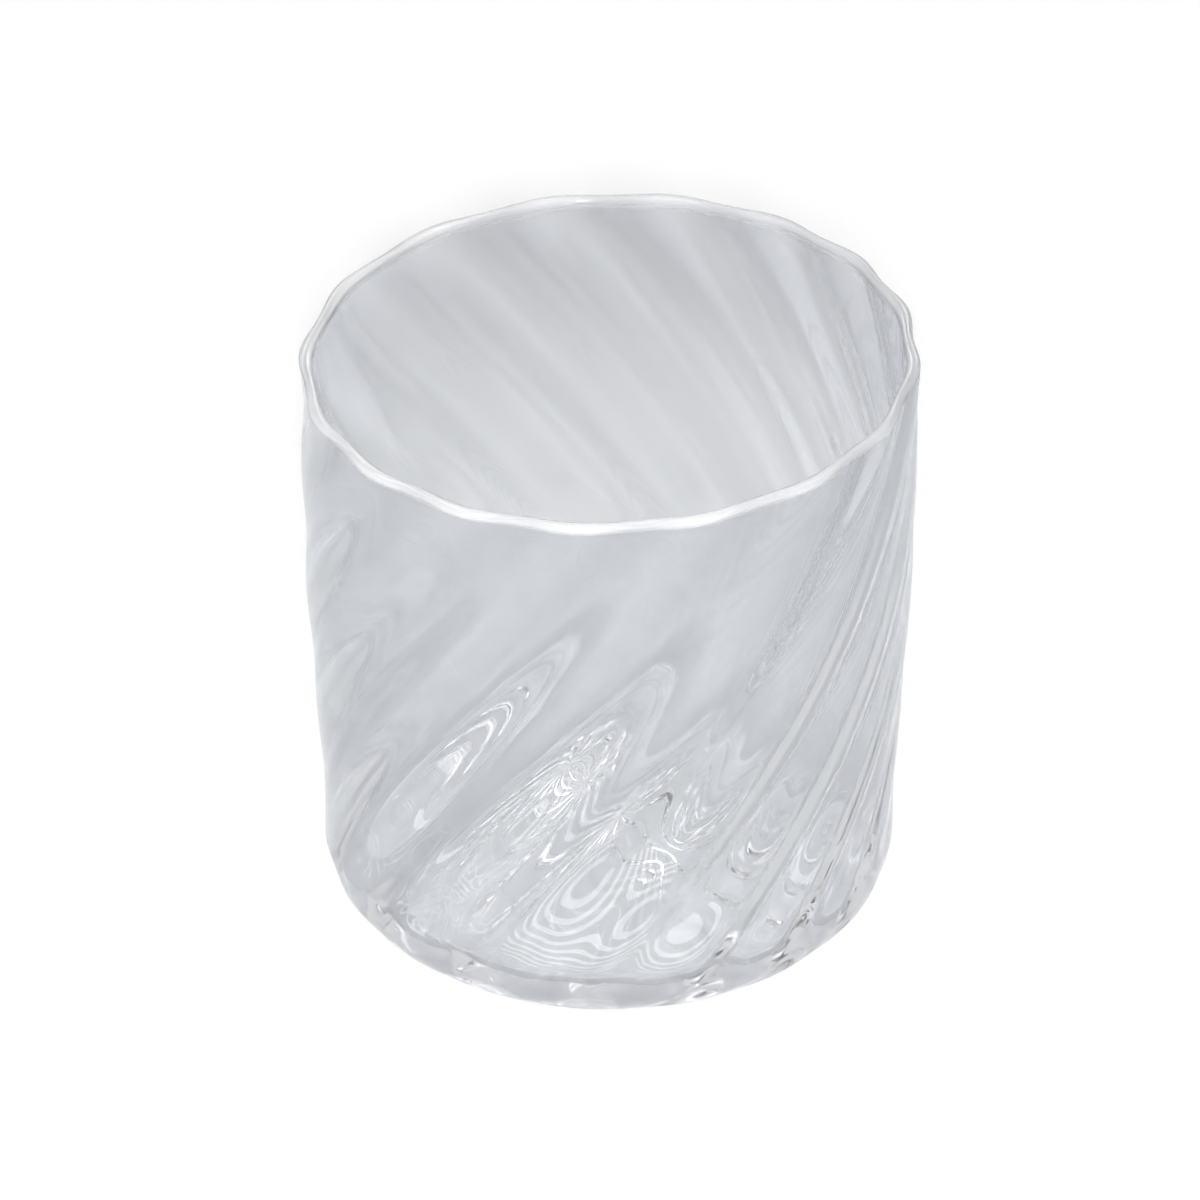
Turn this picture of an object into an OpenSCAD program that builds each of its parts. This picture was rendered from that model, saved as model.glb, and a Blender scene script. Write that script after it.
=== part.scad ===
// A one-piece blown glass tumbler with twisted optic ribs.
// Millimetres, +Z up. The origin is at the middle of the base, on the surface that the glass stands on.
// Near the rim the ribs show outside and inside alike. Lower down they stand mostly on the inside of the wall.

/* [Glass] */
// Outside diameter of the straight upper wall, midway between rib crest and rib valley
rim_d = 80; // [70:1:120]
// How far the wall draws in from the straight part down to the foot, on each side
foot_in = 1.75; // [0:0.25:6]
// Height of the rim above the table, averaged round the rim
glass_h = 82; // [66:1:160]
// Height at which the wall, widening from the foot, becomes straight
shoulder_h = 56; // [30:1:60]
// Thickness of the wall at the rim, averaged over a rib
rim_wall = 1.6; // [1.2:0.1:3]
// Thickness of the wall just above the corner, averaged over a rib
foot_wall = 1.8; // [1.4:0.1:4]
// Height of the rounded lip
lip_h = 0.6; // [0.3:0.1:1.2]

/* [Base] */
// Thickness of the floor at its centre
floor_t = 2.5; // [1.5:0.25:8]
// Thickness of the floor above the ring that the glass stands on
ring_t = 2.6; // [1.6:0.1:8]
// Height of the hollow pushed up under the floor
punt_h = 9; // [0.5:0.5:14]
// Width of the flat ring that the glass stands on
ring_w = 3.75; // [1.5:0.25:8]
// How far the rounded corner reaches in under the glass, from the wall to the flat ring
corner_w = 9.5; // [6:0.5:16]
// Height of the rounded corner outside
corner_h = 8; // [4:0.5:14]
// Radius of the rounded corner inside
corner_in_r = 7; // [3:0.5:12]

/* [Ribs] */
// Number of ribs round the glass
rib_n = 16; // [8:1:20]
// Height of a rib outside at the rim, from valley to crest
rim_rib_h = 0.8; // [0:0.1:1.6]
// Height of a rib outside on the lower wall, from valley to crest
wall_rib_h = 0.25; // [0:0.05:1.2]
// How far the inside follows the ribs at the rim, from valley to crest
rim_wave_h = 0.4; // [0:0.1:0.8]
// Height of a rib inside on the lower wall, where the glass is thickest at a crest
in_rib_h = 1; // [0:0.1:1.4]
// Height of a rib where it runs in under the floor, from valley to crest
floor_rib_h = 0.8; // [0:0.1:1]
// Distance below the rim over which the ribs of the rim settle to those of the lower wall
rib_fade_h = 20; // [5:1:60]
// Angle that a rib turns on its way from the table up to the rim, in degrees
twist = 88; // [0:1:140]
// Azimuth of the first rib at the rim, counted from +X, in degrees
rib_start = -6.5; // [-20:0.5:20]

/* [Hand finish] */
// How far the ribs crowd to one side, because the glass is turned by hand, in degrees
rib_drift = 4; // [0:0.5:6]
// Azimuth where the ribs lie widest apart, in degrees
rib_drift_at = 156; // [0:1:360]
// How far the ribs crowd on two opposite sides, in degrees
rib_squeeze = 2.3; // [0:0.1:4]
// Azimuth of one of the two places where that spreads them most, in degrees
rib_squeeze_at = 124; // [0:1:180]
// How much higher than its mean height the rim is on its high side
rim_lean_h = 1.1; // [0:0.1:2]
// Azimuth of the high side of the rim, in degrees
rim_lean_at = 22; // [0:1:360]

/* [Hidden] */

// Counts of points and rows that the surface is drawn with
seg_per_rib = 6;
seg = rib_n * seg_per_rib;
punt_rows = 6;
corner_rows = 7;
wall_rows = 19;
lip_rows = 6;
in_wall_rows = 16;
in_corner_rows = 6;
in_floor_rows = 6;
// Shares of the way out under the floor over which the ribs there swell up and die away
swell_share = 0.3;
die_share = 0.2;

rim_r = rim_d / 2;
foot_r = rim_r - foot_in;
stand_out_r = foot_r - corner_w;
stand_in_r = stand_out_r - ring_w;
floor_z = punt_h + floor_t;
rim_in_r = rim_r - rim_wall;
foot_in_r = foot_r - foot_wall;
lip_z = glass_h - lip_h;
// Where the inside turns from the wall into the rounded corner, and from the corner into the floor
turn_z = ring_t + corner_in_r;
in_edge_r = inner_r(turn_z) - corner_in_r;

// A share that goes smoothly from 0 to 1
function ease(t) =
    let (s = min(1, max(0, t)))
    s * s * (3 - 2 * s);

// How far the wall has widened at a height, from 0 at the foot to 1 at the shoulder
function rise_share(z) = ease((z - corner_h) / (shoulder_h - corner_h));

// A share that falls smoothly from 1 at the middle of the floor to 0 at its edge
function dome(t) = pow(1 - t * t, 2);

// Radius of the wall at a height, outside and inside, midway between crest and valley
function outer_r(z) = foot_r + (rim_r - foot_r) * rise_share(z);
function inner_r(z) = foot_in_r + (rim_in_r - foot_in_r) * rise_share(z);

// How much of the rim's own ribs is left at a height, from 1 at the rim towards 0
function rim_share(z) = exp(-(glass_h - z) / rib_fade_h);

// Half the height of a rib outside, and how far a crest pushes the inside outward
function wall_wave(z) = (wall_rib_h + (rim_rib_h - wall_rib_h) * rim_share(z)) / 2;
function in_wave(z) = (rim_wave_h * rim_share(z) - in_rib_h * (1 - rim_share(z))) / 2;

// Half the height of a rib under the floor, at a share of the way out to the flat ring
function punt_wave(t) = floor_rib_h / 2 * ease(t / swell_share) * ease((1 - t) / die_share);

// Turn of the ribs at a place outside. They keep turning where they run in under the floor.
function turn(r, z) = twist * ((z - max(0, foot_r - r)) / glass_h - 1);

// Azimuth of rib place u before the turn. Hand work leaves the ribs a little uneven.
function uneven(u) =
    u + rib_drift * sin(u - rib_drift_at) + rib_squeeze * sin(2 * (u - rib_squeeze_at));

// The outline of the glass as rows, from the middle under the floor out, up, over the lip and down inside.
// Each row is radius, height, how far a crest pushes it outward, how far downward, and its turn.
punt_outline = [
    for (i = [1 : punt_rows])
        let (t = i / punt_rows, r = stand_in_r * t)
        [r, punt_h * dome(t), 0, punt_wave(t), turn(r, 0)]
];
stand_outline = [[stand_out_r, 0, 0, 0, turn(stand_out_r, 0)]];
// The ribs grow out of the flat ring along the corner
corner_outline = [
    for (i = [1 : corner_rows])
        let (a = 90 * i / corner_rows)
        let (r = stand_out_r + corner_w * sin(a), z = corner_h * (1 - cos(a)))
        [r, z, wall_wave(z) * sin(a), 0, turn(r, z)]
];
wall_outline = [
    for (i = [1 : wall_rows])
        let (z = corner_h + (lip_z - corner_h) * i / wall_rows)
        [outer_r(z), z, wall_wave(z), 0, turn(rim_r, z)]
];
lip_outline = [
    for (i = [1 : lip_rows])
        let (a = 180 * i / lip_rows, in_share = (1 - cos(a)) / 2, z = lip_z + lip_h * sin(a))
        let (wave = wall_wave(z) * (1 - in_share) + in_wave(z) * in_share)
        [rim_r + (rim_in_r - rim_r) * in_share, z, wave, 0, turn(rim_r, z)]
];
in_wall_outline = [
    for (i = [1 : in_wall_rows])
        let (z = lip_z + (turn_z - lip_z) * i / in_wall_rows)
        [inner_r(z), z, in_wave(z), 0, turn(rim_r, z)]
];
// The ribs inside die away along the rounded corner
in_corner_outline = [
    for (i = [1 : in_corner_rows])
        let (a = 90 * i / in_corner_rows, r = in_edge_r + corner_in_r * cos(a))
        [r, turn_z - corner_in_r * sin(a), in_wave(turn_z) * pow(cos(a), 2), 0, turn(rim_r, turn_z)]
];
in_floor_outline = [
    for (i = [1 : in_floor_rows - 1])
        let (t = 1 - i / in_floor_rows, r = in_edge_r * t)
        [r, ring_t + (floor_z - ring_t) * dome(t), 0, 0, turn(rim_r, turn_z)]
];
outline = concat(
    punt_outline,
    stand_outline,
    corner_outline,
    wall_outline,
    lip_outline,
    in_wall_outline,
    in_corner_outline,
    in_floor_outline
);

// One point of the surface: row of the outline and place round it. The lean grows towards the rim.
function skin_point(row, k) =
    let (
        step = 360 * k / seg,
        crest = cos(rib_n * step),
        a = uneven(rib_start + step) + row[4],
        r = row[0] + row[2] * crest,
        lean = rim_lean_h * r / rim_r * cos(a - rim_lean_at) * pow(row[1] / glass_h, 2)
    )
    [r * cos(a), r * sin(a), row[1] - row[3] * crest + lean];

// The whole glass: one closed surface from the middle under the floor to the middle of the floor inside
module tumbler() {
    rows = len(outline);
    skin = [for (row = outline) for (k = [0 : seg - 1]) skin_point(row, k)];
    under_centre = rows * seg;
    floor_centre = under_centre + 1;
    last_row = (rows - 1) * seg;
    points = concat(skin, [[0, 0, punt_h], [0, 0, floor_z]]);
    walls = [
        for (i = [0 : rows - 2])
            for (k = [0 : seg - 1])
                let (n = (k + 1) % seg, a = i * seg + k, b = i * seg + n)
                each [[a, a + seg, b], [a + seg, b + seg, b]]
    ];
    under = [for (k = [0 : seg - 1]) [under_centre, k, (k + 1) % seg]];
    floor_fan = [for (k = [0 : seg - 1]) [floor_centre, last_row + (k + 1) % seg, last_row + k]];
    color([0.88, 0.92, 0.94, 0.45])
        polyhedron(points = points, faces = concat(walls, under, floor_fan), convexity = 6);
}

tumbler();
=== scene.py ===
"""Looks of the twisted-rib glass tumbler: a smooth mesh, its clear material and a pale studio."""
from math import cos, pi, radians, sin

import bpy
import numpy as np
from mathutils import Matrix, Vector


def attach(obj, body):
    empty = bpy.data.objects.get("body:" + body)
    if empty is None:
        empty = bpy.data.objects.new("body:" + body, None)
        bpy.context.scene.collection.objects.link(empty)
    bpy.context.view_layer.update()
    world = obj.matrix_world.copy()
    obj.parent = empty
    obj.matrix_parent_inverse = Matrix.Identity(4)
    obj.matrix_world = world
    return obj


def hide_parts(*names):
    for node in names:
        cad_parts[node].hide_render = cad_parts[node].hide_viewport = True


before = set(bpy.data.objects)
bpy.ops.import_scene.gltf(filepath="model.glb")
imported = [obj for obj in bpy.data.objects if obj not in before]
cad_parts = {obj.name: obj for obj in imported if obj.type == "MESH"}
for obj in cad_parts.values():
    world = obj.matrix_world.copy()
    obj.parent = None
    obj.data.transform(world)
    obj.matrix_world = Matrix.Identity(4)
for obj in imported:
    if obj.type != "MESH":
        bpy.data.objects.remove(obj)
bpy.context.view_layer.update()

MM = 0.001
FULL_TURN = 360

# The glass in millimetres and degrees, as the part's source has it
RIM_R = 40.0
FOOT_IN = 1.75
GLASS_H = 82.0
SHOULDER_H = 56.0
RIM_WALL = 1.6
FOOT_WALL = 1.8
LIP_H = 0.6
FLOOR_T = 2.5
RING_T = 2.6
PUNT_H = 9.0
RING_W = 3.75
CORNER_W = 9.5
CORNER_H = 8.0
CORNER_IN_R = 7.0
RIB_N = 16
RIM_RIB_H = 0.8
WALL_RIB_H = 0.25
RIM_WAVE_H = 0.4
IN_RIB_H = 1.0
FLOOR_RIB_H = 0.8
RIB_FADE_H = 20.0
TWIST = 88.0
RIB_START = -6.5
RIB_DRIFT = 4.0
RIB_DRIFT_AT = 156.0
RIB_SQUEEZE = 2.3
RIB_SQUEEZE_AT = 124.0
RIM_LEAN_H = 1.1
RIM_LEAN_AT = 22.0
SWELL_SHARE = 0.3
DIE_SHARE = 0.2

FOOT_R = RIM_R - FOOT_IN
STAND_OUT_R = FOOT_R - CORNER_W
STAND_IN_R = STAND_OUT_R - RING_W
FLOOR_Z = PUNT_H + FLOOR_T
RIM_IN_R = RIM_R - RIM_WALL
FOOT_IN_R = FOOT_R - FOOT_WALL
LIP_Z = GLASS_H - LIP_H
TURN_Z = RING_T + CORNER_IN_R

# How finely the mesh is drawn, round the glass and in rows along its outline
SEG_PER_RIB = 16
SEG = RIB_N * SEG_PER_RIB
PUNT_ROWS = 24
STAND_ROWS = 3
CORNER_ROWS = 22
WALL_ROWS = 110
LIP_ROWS = 12
IN_WALL_ROWS = 60
IN_CORNER_ROWS = 22
IN_FLOOR_ROWS = 24

# The part's flat facets cut a hair inside the smooth surface, so the mesh is this much smaller
INSIDE_SHARE = 0.9994

# The fire-polished lip scatters light along its two edges and less on top
LIP_TOP_SHARE = 0.7
# Neither crest nor valley, for the two points in the middle of the glass
NO_RIB = 0.5

# The painted shade below darkens the glass's colour in bands, valleys and at the foot. It is given as a
# share of the way to the painted shade colour, and heights are in millimetres.
# The foot has its full painted shade up to the core height and none above the other height.
FOOT_PAINTED_SHADE = 0.6
FOOT_PAINTED_SHADE_H = 15.0
FOOT_PAINTED_SHADE_CORE_H = 2.0
# Bands of painted shade hang from the rim in the rib valleys. They are deepest at one azimuth and faint
# opposite.
BAND_PAINTED_SHADE = 0.8
BAND_H = 38.0
BAND_AT = radians(65)
BAND_FRONT_SHARE = 0.1
# How much of a band a crest gets, and how much more of it on the +X side
BAND_CREST_SHARE = 0.5
BAND_SIDE_SHARE = 0.35
# Painted shade in the rib valleys opposite the bands, over their whole height
VALLEY_PAINTED_SHADE = 0.17
# How much the painted shade fades over the lip, from outside to inside
LIP_FADE = 0.6


def ease(t):
    """A share that goes smoothly from 0 to 1."""
    t = np.clip(t, 0.0, 1.0)
    return t * t * (3 - 2 * t)


def dome(t):
    """A share that falls smoothly from 1 at the middle of the floor to 0 at its edge."""
    return (1 - t * t) ** 2


def rise_share(z):
    return ease((z - CORNER_H) / (SHOULDER_H - CORNER_H))


def outer_r(z):
    return FOOT_R + (RIM_R - FOOT_R) * rise_share(z)


def inner_r(z):
    return FOOT_IN_R + (RIM_IN_R - FOOT_IN_R) * rise_share(z)


def rim_share(z):
    """How much of the rim's own ribs is left at a height."""
    return float(np.exp(-(GLASS_H - z) / RIB_FADE_H))


def wall_wave(z):
    """Half the height of a rib outside."""
    return (WALL_RIB_H + (RIM_RIB_H - WALL_RIB_H) * rim_share(z)) / 2


def in_wave(z):
    """How far a crest pushes the inside outward. Low down it pushes inward, where the glass is thickest."""
    return (RIM_WAVE_H * rim_share(z) - IN_RIB_H * (1 - rim_share(z))) / 2


def punt_wave(t):
    """Half the height of a rib under the floor."""
    return FLOOR_RIB_H / 2 * ease(t / SWELL_SHARE) * ease((1 - t) / DIE_SHARE)


def turn(r, z):
    """Turn of the ribs at a place outside. They keep turning where they run in under the floor."""
    return TWIST * ((z - max(0.0, FOOT_R - r)) / GLASS_H - 1)


# Each row of the outline is radius, height, push outward by a crest, push downward by a crest, and turn
def under_rows():
    rows = []
    for i in range(1, PUNT_ROWS + 1):
        t = i / PUNT_ROWS
        r = STAND_IN_R * t
        rows.append((r, PUNT_H * dome(t), 0.0, punt_wave(t), turn(r, 0)))
    for i in range(1, STAND_ROWS + 1):
        r = STAND_IN_R + (STAND_OUT_R - STAND_IN_R) * i / STAND_ROWS
        rows.append((r, 0.0, 0.0, 0.0, turn(r, 0)))
    return rows


def outside_rows():
    rows = []
    for i in range(1, CORNER_ROWS + 1):
        a = pi / 2 * i / CORNER_ROWS
        r = STAND_OUT_R + CORNER_W * sin(a)
        z = CORNER_H * (1 - cos(a))
        rows.append((r, z, wall_wave(z) * sin(a), 0.0, turn(r, z)))
    for i in range(1, WALL_ROWS + 1):
        z = CORNER_H + (LIP_Z - CORNER_H) * i / WALL_ROWS
        rows.append((outer_r(z), z, wall_wave(z), 0.0, turn(RIM_R, z)))
    return rows


def lip_rows():
    rows = []
    for i in range(1, LIP_ROWS + 1):
        a = pi * i / LIP_ROWS
        share = (1 - cos(a)) / 2
        z = LIP_Z + LIP_H * sin(a)
        wave = wall_wave(z) * (1 - share) + in_wave(z) * share
        rows.append((RIM_R + (RIM_IN_R - RIM_R) * share, z, wave, 0.0, turn(RIM_R, z)))
    return rows


def inside_rows():
    rows = []
    for i in range(1, IN_WALL_ROWS + 1):
        z = LIP_Z + (TURN_Z - LIP_Z) * i / IN_WALL_ROWS
        rows.append((inner_r(z), z, in_wave(z), 0.0, turn(RIM_R, z)))
    edge_r = inner_r(TURN_Z) - CORNER_IN_R
    for i in range(1, IN_CORNER_ROWS + 1):
        a = pi / 2 * i / IN_CORNER_ROWS
        r = edge_r + CORNER_IN_R * cos(a)
        z = TURN_Z - CORNER_IN_R * sin(a)
        rows.append((r, z, in_wave(TURN_Z) * cos(a) ** 2, 0.0, turn(RIM_R, TURN_Z)))
    for i in range(1, IN_FLOOR_ROWS):
        t = 1 - i / IN_FLOOR_ROWS
        rows.append((edge_r * t, RING_T + (FLOOR_Z - RING_T) * dome(t), 0.0, 0.0, turn(RIM_R, TURN_Z)))
    return rows


def crests():
    """1 on a rib crest and -1 in a rib valley, for each place round the glass."""
    return np.cos(np.radians(RIB_N * FULL_TURN * np.arange(SEG) / SEG))


def surface_points(rows):
    """The points of every row, in metres. Hand work leaves the ribs a little uneven and the rim leaning."""
    u = RIB_START + FULL_TURN * np.arange(SEG) / SEG
    drift = RIB_DRIFT * np.sin(np.radians(u - RIB_DRIFT_AT))
    squeeze = RIB_SQUEEZE * np.sin(np.radians(2 * (u - RIB_SQUEEZE_AT)))
    r, z, out, down, turned = (rows[:, k : k + 1] for k in range(5))
    a = np.radians((u + drift + squeeze)[None, :] + turned)
    radius = r + out * crests()
    lean = RIM_LEAN_H * radius / RIM_R * np.cos(a - radians(RIM_LEAN_AT)) * (z / GLASS_H) ** 2
    points = np.stack([radius * np.cos(a), radius * np.sin(a), z - down * crests() + lean], -1)
    return points.reshape(-1, 3) * MM * INSIDE_SHARE


def surface_faces(row_count):
    """Four-sided faces between the rows, and a fan round the middle of the underside and of the floor."""
    i, k = np.meshgrid(np.arange(row_count - 1), np.arange(SEG), indexing="ij")
    near, far = i * SEG + k, i * SEG + (k + 1) % SEG
    faces = np.stack([near, far, far + SEG, near + SEG], -1).reshape(-1, 4).tolist()
    under_middle = row_count * SEG
    last = under_middle - SEG
    for j in range(SEG):
        after = (j + 1) % SEG
        faces.append([under_middle, after, j])
        faces.append([under_middle + 1, last + j, last + after])
    return faces


def painted_shade_depth(points):
    """How deep the painted shade is at each point of the rows, as a share of the way to the painted shade
    colour.
    """
    x, y, z = (points[:, k].reshape(-1, SEG) / MM for k in range(3))
    banded = ease((1 + np.cos(np.arctan2(y, x) - BAND_AT)) / 2)
    valley = ease((1 - crests()) / 2)
    crest_share = BAND_CREST_SHARE + BAND_SIDE_SHARE * ease(x / np.hypot(x, y))
    band = ease(1 - (GLASS_H - z) / BAND_H) * (crest_share + (1 - crest_share) * valley)
    bands = BAND_PAINTED_SHADE * band * (BAND_FRONT_SHARE + (1 - BAND_FRONT_SHARE) * banded)
    foot = ease((FOOT_PAINTED_SHADE_H - z) / (FOOT_PAINTED_SHADE_H - FOOT_PAINTED_SHADE_CORE_H))
    return bands + VALLEY_PAINTED_SHADE * valley * (1 - banded) + FOOT_PAINTED_SHADE * foot


def add_values(mesh, name, values, under_middle=0.0, floor_middle=0.0):
    """One value for each point of the rows and for the two middles. A row may share one value."""
    grid = np.broadcast_to(values, (len(values), SEG)).reshape(-1)
    grid = np.append(grid, [under_middle, floor_middle]).astype(np.float32)
    mesh.attributes.new(name, "FLOAT", "POINT").data.foreach_set("value", grid)


def glass_mesh():
    """The smooth glass, with the values that its material reads at each point."""
    parts = [under_rows(), outside_rows(), lip_rows(), inside_rows()]
    rows = np.array(sum(parts, []))
    points = surface_points(rows)
    middles = np.array([[0, 0, PUNT_H], [0, 0, FLOOR_Z]]) * MM
    mesh = bpy.data.meshes.new("tumbler_glass")
    mesh.from_pydata(np.vstack([points, middles]).tolist(), [], surface_faces(len(rows)))
    mesh.polygons.foreach_set("use_smooth", np.ones(len(mesh.polygons), bool))
    order = np.arange(len(rows))[:, None]
    wall_start = len(parts[0])
    lip_start = wall_start + len(parts[1]) - 1
    lip_end = lip_start + LIP_ROWS
    skin = order <= lip_start + LIP_ROWS // 2
    on_lip = (order >= lip_start) & (order <= lip_end)
    lip_edges = np.cos(pi * (order - lip_start) / LIP_ROWS) ** 2
    over_lip = np.clip((order - lip_start) / LIP_ROWS, 0, 1)
    painted_shade_rows = (order >= wall_start) * (order <= lip_end) * (1 - LIP_FADE * over_lip)
    add_values(mesh, "skin", skin, under_middle=1.0)
    add_values(mesh, "rib", np.tile((1 + crests()) / 2, (len(rows), 1)), NO_RIB, NO_RIB)
    add_values(mesh, "lip", on_lip * (LIP_TOP_SHARE + (1 - LIP_TOP_SHARE) * lip_edges))
    # The deep value is painted shade: bands under the rim, rib valleys and the foot darkened in the glass's
    # colour
    add_values(mesh, "deep", painted_shade_depth(points) * painted_shade_rows)
    mesh.update()
    return mesh


def node_tree(owner):
    owner.use_nodes = True
    owner.node_tree.nodes.clear()
    return owner.node_tree


def feed(tree, socket, source):
    """Sets a socket to a number or colour, or links an output to it."""
    if isinstance(source, bpy.types.NodeSocket):
        tree.links.new(source, socket)
    else:
        socket.default_value = source


def attribute(tree, name):
    node = tree.nodes.new("ShaderNodeAttribute")
    node.attribute_name = name
    return node.outputs["Fac"]


def compute(tree, operation, a, b, c=0.0):
    node = tree.nodes.new("ShaderNodeMath")
    node.operation = operation
    for socket, source in zip(node.inputs, (a, b, c)):
        feed(tree, socket, source)
    return node.outputs[0]


def remap(tree, source, from_range, to_range, smooth=False):
    node = tree.nodes.new("ShaderNodeMapRange")
    node.interpolation_type = "SMOOTHSTEP" if smooth else "LINEAR"
    feed(tree, node.inputs["Value"], source)
    node.inputs["From Min"].default_value, node.inputs["From Max"].default_value = from_range
    node.inputs["To Min"].default_value, node.inputs["To Max"].default_value = to_range
    return node.outputs[0]


def blend(tree, share, a, b, kind="FLOAT"):
    node = tree.nodes.new("ShaderNodeMix")
    node.data_type = kind
    feed(tree, node.inputs["Factor"], share)
    feed(tree, node.inputs["A"], a)
    feed(tree, node.inputs["B"], b)
    return node.outputs["Result"]


def choose(tree, share, a, b):
    node = tree.nodes.new("ShaderNodeMixShader")
    feed(tree, node.inputs["Fac"], share)
    tree.links.new(a, node.inputs[1])
    tree.links.new(b, node.inputs[2])
    return node.outputs[0]


# The clear colour, the colour along the wall and the painted shade colour that the mesh's painted shade
# leads to
GLASS_COLOUR = (0.903, 0.911, 0.925, 1)
EDGE_COLOUR = (0.685, 0.7, 0.73, 1)
PAINTED_SHADE_COLOUR = (0.42, 0.43, 0.46, 1)
EDGE_FROM, EDGE_TO = 0.2, 0.9
GRAIN_TINT = 0.08
GRAIN_SCALE = 55.0
GRAIN_DETAIL = 2.0
GLASS_IOR = 1.5
# How clear the lip is where it scatters most
LIP_CLEAR = 0.4
# The share of a lamp's light that passes where it enters, and where it leaves low down and high up
SHADE_IN = 0.985
SHADE_LOW = 0.97
SHADE_HIGH = 0.65
# In millimetres, where the shade is full and above, and how far below the rim the streaks start to deepen
SHADE_FULL_H = 56.0
STREAK_H = 50.0
STREAK_LOW = 0.07
STREAK_HIGH = 0.25


def glass_tint_and_painted_shade(tree, place):
    """Deeper where the glass is seen along its wall, darker with painted shade where the mesh says, and
    faintly uneven all over.
    """
    facing = tree.nodes.new("ShaderNodeLayerWeight")
    slant = remap(tree, facing.outputs["Facing"], (EDGE_FROM, EDGE_TO), (0, 1), smooth=True)
    tint = blend(tree, slant, GLASS_COLOUR, EDGE_COLOUR, "RGBA")
    grain = tree.nodes.new("ShaderNodeTexNoise")
    grain.inputs["Scale"].default_value = GRAIN_SCALE
    grain.inputs["Detail"].default_value = GRAIN_DETAIL
    tree.links.new(place.outputs["Position"], grain.inputs["Vector"])
    uneven = remap(tree, grain.outputs["Fac"], (0, 1), (-GRAIN_TINT, GRAIN_TINT))
    # The deep value read here is painted shade, not a tint of the glass itself
    deep = compute(tree, "ADD", attribute(tree, "deep"), uneven)
    deep = compute(tree, "MAXIMUM", deep, 0.0)
    return blend(tree, deep, tint, PAINTED_SHADE_COLOUR, "RGBA")


def glass_shade(tree, place):
    """How much light passes each surface on its way to the floor. The shade is cast where light leaves.
    It deepens up to a height, and the ribs draw dark and light streaks in it below the rim."""
    split = tree.nodes.new("ShaderNodeSeparateXYZ")
    tree.links.new(place.outputs["Position"], split.inputs[0])
    height = split.outputs["Z"]
    skin = attribute(tree, "skin")
    outside = compute(tree, "SUBTRACT", 1.0, place.outputs["Backfacing"])
    leaving = compute(tree, "MULTIPLY", skin, outside)
    shade = remap(tree, height, (0, SHADE_FULL_H * MM), (SHADE_LOW, SHADE_HIGH))
    level = blend(tree, leaving, SHADE_IN, shade)
    depth = remap(tree, height, ((GLASS_H - STREAK_H) * MM, GLASS_H * MM), (STREAK_LOW, STREAK_HIGH))
    ribs = remap(tree, attribute(tree, "rib"), (0, 1), (-1, 1))
    streak = compute(tree, "MULTIPLY", compute(tree, "MULTIPLY", ribs, depth), skin)
    return compute(tree, "MULTIPLY", compute(tree, "ADD", streak, 1.0), level)


def clear_glass():
    material = bpy.data.materials.new("clear_glass")
    tree = node_tree(material)
    place = tree.nodes.new("ShaderNodeNewGeometry")
    glass = tree.nodes.new("ShaderNodeBsdfPrincipled")
    feed(tree, glass.inputs["Base Color"], glass_tint_and_painted_shade(tree, place))
    glass.inputs["Roughness"].default_value = 0.0
    glass.inputs["IOR"].default_value = GLASS_IOR
    see_through = remap(tree, attribute(tree, "lip"), (0, 1), (1, LIP_CLEAR))
    feed(tree, glass.inputs["Transmission Weight"], see_through)
    clear = tree.nodes.new("ShaderNodeBsdfTransparent")
    feed(tree, clear.inputs["Color"], glass_shade(tree, place))
    path = tree.nodes.new("ShaderNodeLightPath")
    out = tree.nodes.new("ShaderNodeOutputMaterial")
    whole = choose(tree, path.outputs["Is Shadow Ray"], glass.outputs[0], clear.outputs[0])
    tree.links.new(whole, out.inputs["Surface"])
    return material


FLOOR_COLOUR = (0.95, 0.95, 0.95, 1)
# What the glass shows of the floor is a little darker than the floor itself
FLOOR_BY_GLASS = (0.8, 0.812, 0.83, 1)
# Rays that have been bent or thrown back this often see the floor as an even pale glow
GLOW_FROM, GLOW_TO = 3.0, 5.0
GLOW_COLOUR = (0.975, 0.988, 1, 1)
GLOW_LEVEL = 0.78


def floor_material():
    material = bpy.data.materials.new("pale_floor")
    tree = node_tree(material)
    path = tree.nodes.new("ShaderNodeLightPath")
    plain = tree.nodes.new("ShaderNodeBsdfDiffuse")
    direct = path.outputs["Is Camera Ray"]
    feed(tree, plain.inputs["Color"], blend(tree, direct, FLOOR_BY_GLASS, FLOOR_COLOUR, "RGBA"))
    glow = tree.nodes.new("ShaderNodeEmission")
    glow.inputs["Color"].default_value = GLOW_COLOUR
    glow.inputs["Strength"].default_value = GLOW_LEVEL
    deep = remap(tree, path.outputs["Ray Depth"], (GLOW_FROM, GLOW_TO), (0, 1))
    out = tree.nodes.new("ShaderNodeOutputMaterial")
    tree.links.new(choose(tree, deep, plain.outputs[0], glow.outputs[0]), out.inputs["Surface"])
    return material


def add_object(name, data):
    thing = bpy.data.objects.new(name, data)
    bpy.context.scene.collection.objects.link(thing)
    return thing


def aim(thing, position, target):
    thing.location = position
    thing.rotation_euler = (target - position).to_track_quat("-Z", "Y").to_euler()


# The glass
glass = add_object("tumbler_glass", glass_mesh())
glass.data.materials.append(clear_glass())
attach(glass, "root")
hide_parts("tumbler")

# The floor
FLOOR_HALF = 1.0
floor_corners = [(x * FLOOR_HALF, y * FLOOR_HALF, 0) for x, y in ((-1, -1), (1, -1), (1, 1), (-1, 1))]
floor_mesh = bpy.data.meshes.new("floor")
floor_mesh.from_pydata(floor_corners, [], [(0, 1, 2, 3)])
floor = add_object("floor", floor_mesh)
floor.data.materials.append(floor_material())

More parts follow.
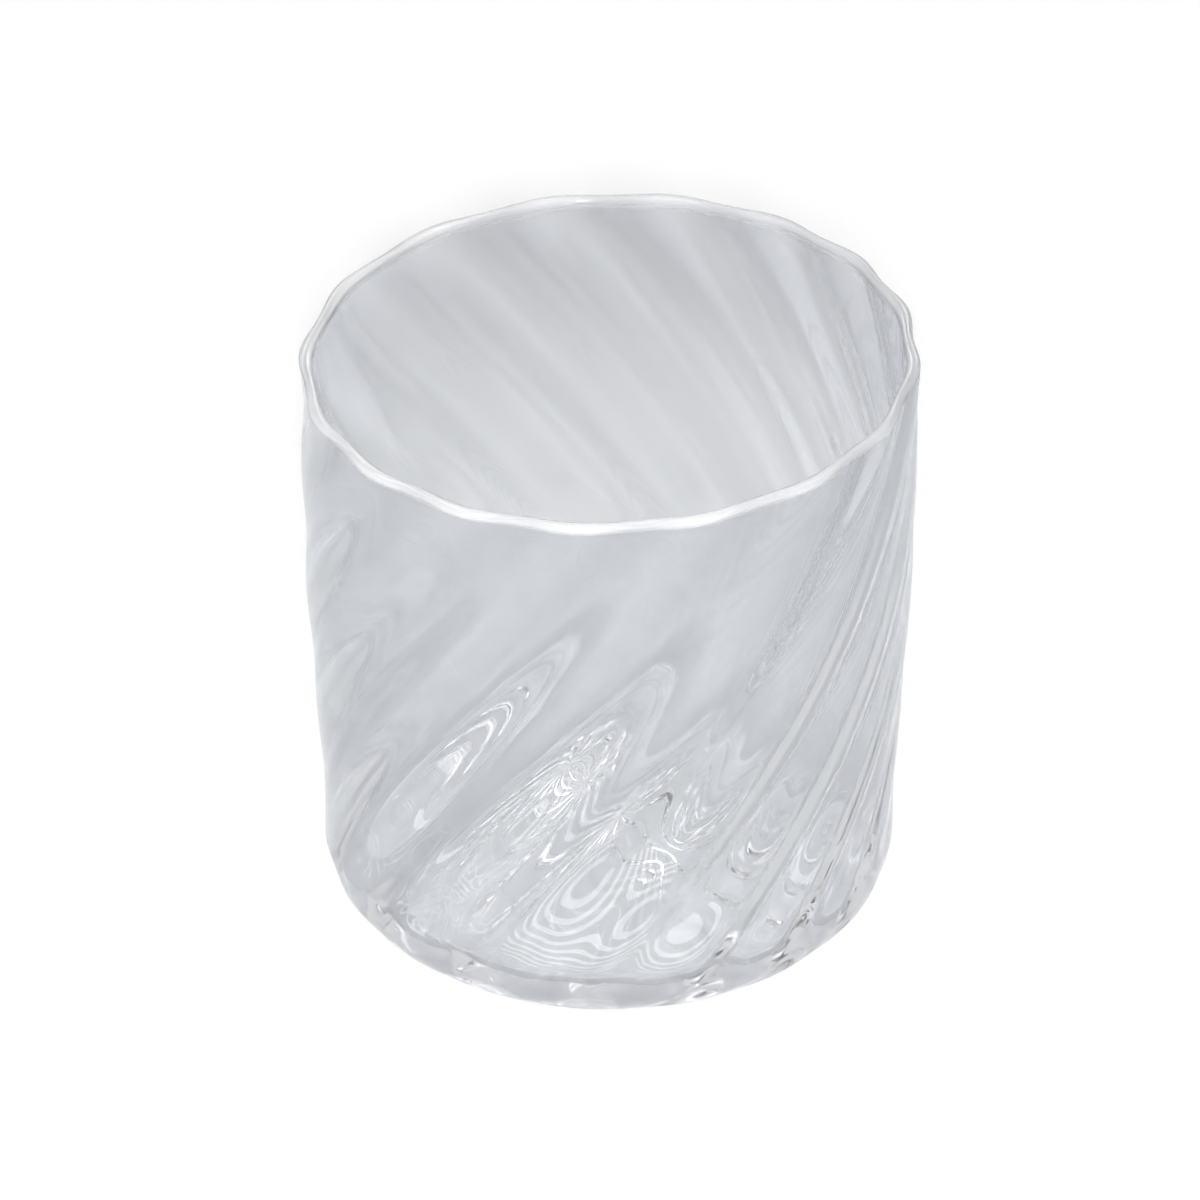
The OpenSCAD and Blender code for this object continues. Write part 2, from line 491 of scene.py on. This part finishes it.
# The camera stands well back, as the photograph's did. The centre of the glass is given in the
# photograph's pixels, and the distance and the height of its middle in radii of the rim.
ELEVATION = radians(34.2)
DISTANCE_IN_RIMS = 24
DISTANCE = DISTANCE_IN_RIMS * RIM_R * MM
PIXELS_PER_RIM_R = 301.6
IMAGE_SIDE = 1200
CENTRE_X, CENTRE_Y = 608.9, 613.4
MIDDLE_IN_RIMS = 1.03
MIDDLE_H = MIDDLE_IN_RIMS * RIM_R * MM
SENSOR = 36.0
CLIP_START = 0.01
camera_data = bpy.data.cameras.new("camera")
camera = add_object("camera", camera_data)
back = Vector((0, -cos(ELEVATION), sin(ELEVATION)))
up = Vector((0, sin(ELEVATION), cos(ELEVATION)))
right = Vector((1, 0, 0))
pixel = RIM_R * MM / PIXELS_PER_RIM_R
target = Vector((0, 0, MIDDLE_H))
target = target - right * (CENTRE_X - IMAGE_SIDE / 2) * pixel + up * (CENTRE_Y - IMAGE_SIDE / 2) * pixel
aim(camera, target + back * DISTANCE, target)
camera_data.sensor_width = SENSOR
camera_data.lens = PIXELS_PER_RIM_R * DISTANCE / (RIM_R * MM) / IMAGE_SIDE * SENSOR
camera_data.clip_start = CLIP_START
bpy.context.scene.camera = camera

# The world lights the scene faintly. The camera sees it white. The glass sees it pale, and darker overhead.
AMBIENT = 0.05
SKY_LOW, SKY_HIGH = 0.8, 0.48
SKY_FROM, SKY_TO = 0.25, 0.7
WHITE = (1, 1, 1, 1)


def studio_world():
    world = bpy.data.worlds.new("studio")
    tree = node_tree(world)
    way = tree.nodes.new("ShaderNodeTexCoord")
    split = tree.nodes.new("ShaderNodeSeparateXYZ")
    tree.links.new(way.outputs["Generated"], split.inputs[0])
    sky = remap(tree, split.outputs["Z"], (SKY_FROM, SKY_TO), (SKY_LOW, SKY_HIGH), smooth=True)
    path = tree.nodes.new("ShaderNodeLightPath")
    by_glass = compute(tree, "MAXIMUM", path.outputs["Is Glossy Ray"], path.outputs["Is Transmission Ray"])
    level = blend(tree, path.outputs["Is Camera Ray"], blend(tree, by_glass, AMBIENT, sky), 1.0)
    background = tree.nodes.new("ShaderNodeBackground")
    background.inputs["Color"].default_value = WHITE
    feed(tree, background.inputs["Strength"], level)
    out = tree.nodes.new("ShaderNodeOutputWorld")
    tree.links.new(background.outputs[0], out.inputs["Surface"])
    return world


bpy.context.scene.world = studio_world()

# The lamps. Sizes and places are in metres, levels as brightness of the lamp's face, the key's in watts.
LAMP_AIM = Vector((0, 0, 0.04))
KEY_POWER = 10.5
KEY_SIZE = 0.08
KEY_AT = 1.2
KEY_ELEVATION = radians(33.3)
SOFT_LIGHT = 1.0
SOFT_SIZE = 3.0
SOFT_H = 2.0
STRIP_LIGHT = 5.0
STRIP_SIZE = (1.2, 0.05)
STRIP_COUNT = 15
STRIP_GAP = 0.12
STRIP_MIDDLE_Y = 0.3
STRIP_H = 1.2
STRIP_FACING = (0, 0, 0)
BACK_LIGHT = 4.0
BACK_SIZE = (1.8, 0.2)
BACK_PLACE = Vector((0.0, 1.6, 0.95))


def area_lamp(name, position, size, power):
    data = bpy.data.lights.new(name, "AREA")
    data.shape = "RECTANGLE"
    data.size, data.size_y = size
    data.energy = power
    lamp = add_object(name, data)
    aim(lamp, position, LAMP_AIM)
    return lamp


def face_power(level, size):
    return level * pi * size[0] * size[1]


# The key stands in the camera's line of sight and lights the floor evenly, so the glass hides its own shade
key_place = LAMP_AIM + Vector((0, -KEY_AT * cos(KEY_ELEVATION), KEY_AT * sin(KEY_ELEVATION)))
key = area_lamp("key", key_place, (KEY_SIZE, KEY_SIZE), KEY_POWER)
key.data.use_nodes = True
key_tree = key.data.node_tree
even = key_tree.nodes.new("ShaderNodeLightFalloff")
even.inputs["Strength"].default_value = 1.0
key_tree.links.new(even.outputs["Constant"], key_tree.nodes["Emission"].inputs["Strength"])

# A wide soft lamp overhead fills the shade and isn't mirrored in the glass
soft_size = (SOFT_SIZE, SOFT_SIZE)
soft = area_lamp("soft", Vector((0, 0, SOFT_H)), soft_size, face_power(SOFT_LIGHT, soft_size))
soft.data.cycles.use_multiple_importance_sampling = False
soft.visible_camera = False
soft.visible_glossy = False
soft.visible_transmission = False

# Strips overhead face straight down. They light only the glass, which mirrors them as nested arcs.
for i in range(STRIP_COUNT):
    strip_y = STRIP_MIDDLE_Y + STRIP_GAP * (i - (STRIP_COUNT - 1) / 2)
    strip_power = face_power(STRIP_LIGHT, STRIP_SIZE)
    strip = area_lamp(f"strip_{i}", Vector((0, strip_y, STRIP_H)), STRIP_SIZE, strip_power)
    strip.rotation_euler = STRIP_FACING
    strip.visible_diffuse = False

area_lamp("back", BACK_PLACE, BACK_SIZE, face_power(BACK_LIGHT, BACK_SIZE))

# Light paths long enough for the glass, in bounces
LONG_PATH = 128
CLEAR_PATH = 32
cycles = bpy.context.scene.cycles
cycles.max_bounces = LONG_PATH
cycles.transmission_bounces = LONG_PATH
cycles.glossy_bounces = LONG_PATH
cycles.transparent_max_bounces = CLEAR_PATH
cycles.caustics_reflective = False
cycles.caustics_refractive = False

bpy.context.scene.view_settings.view_transform = "Standard"
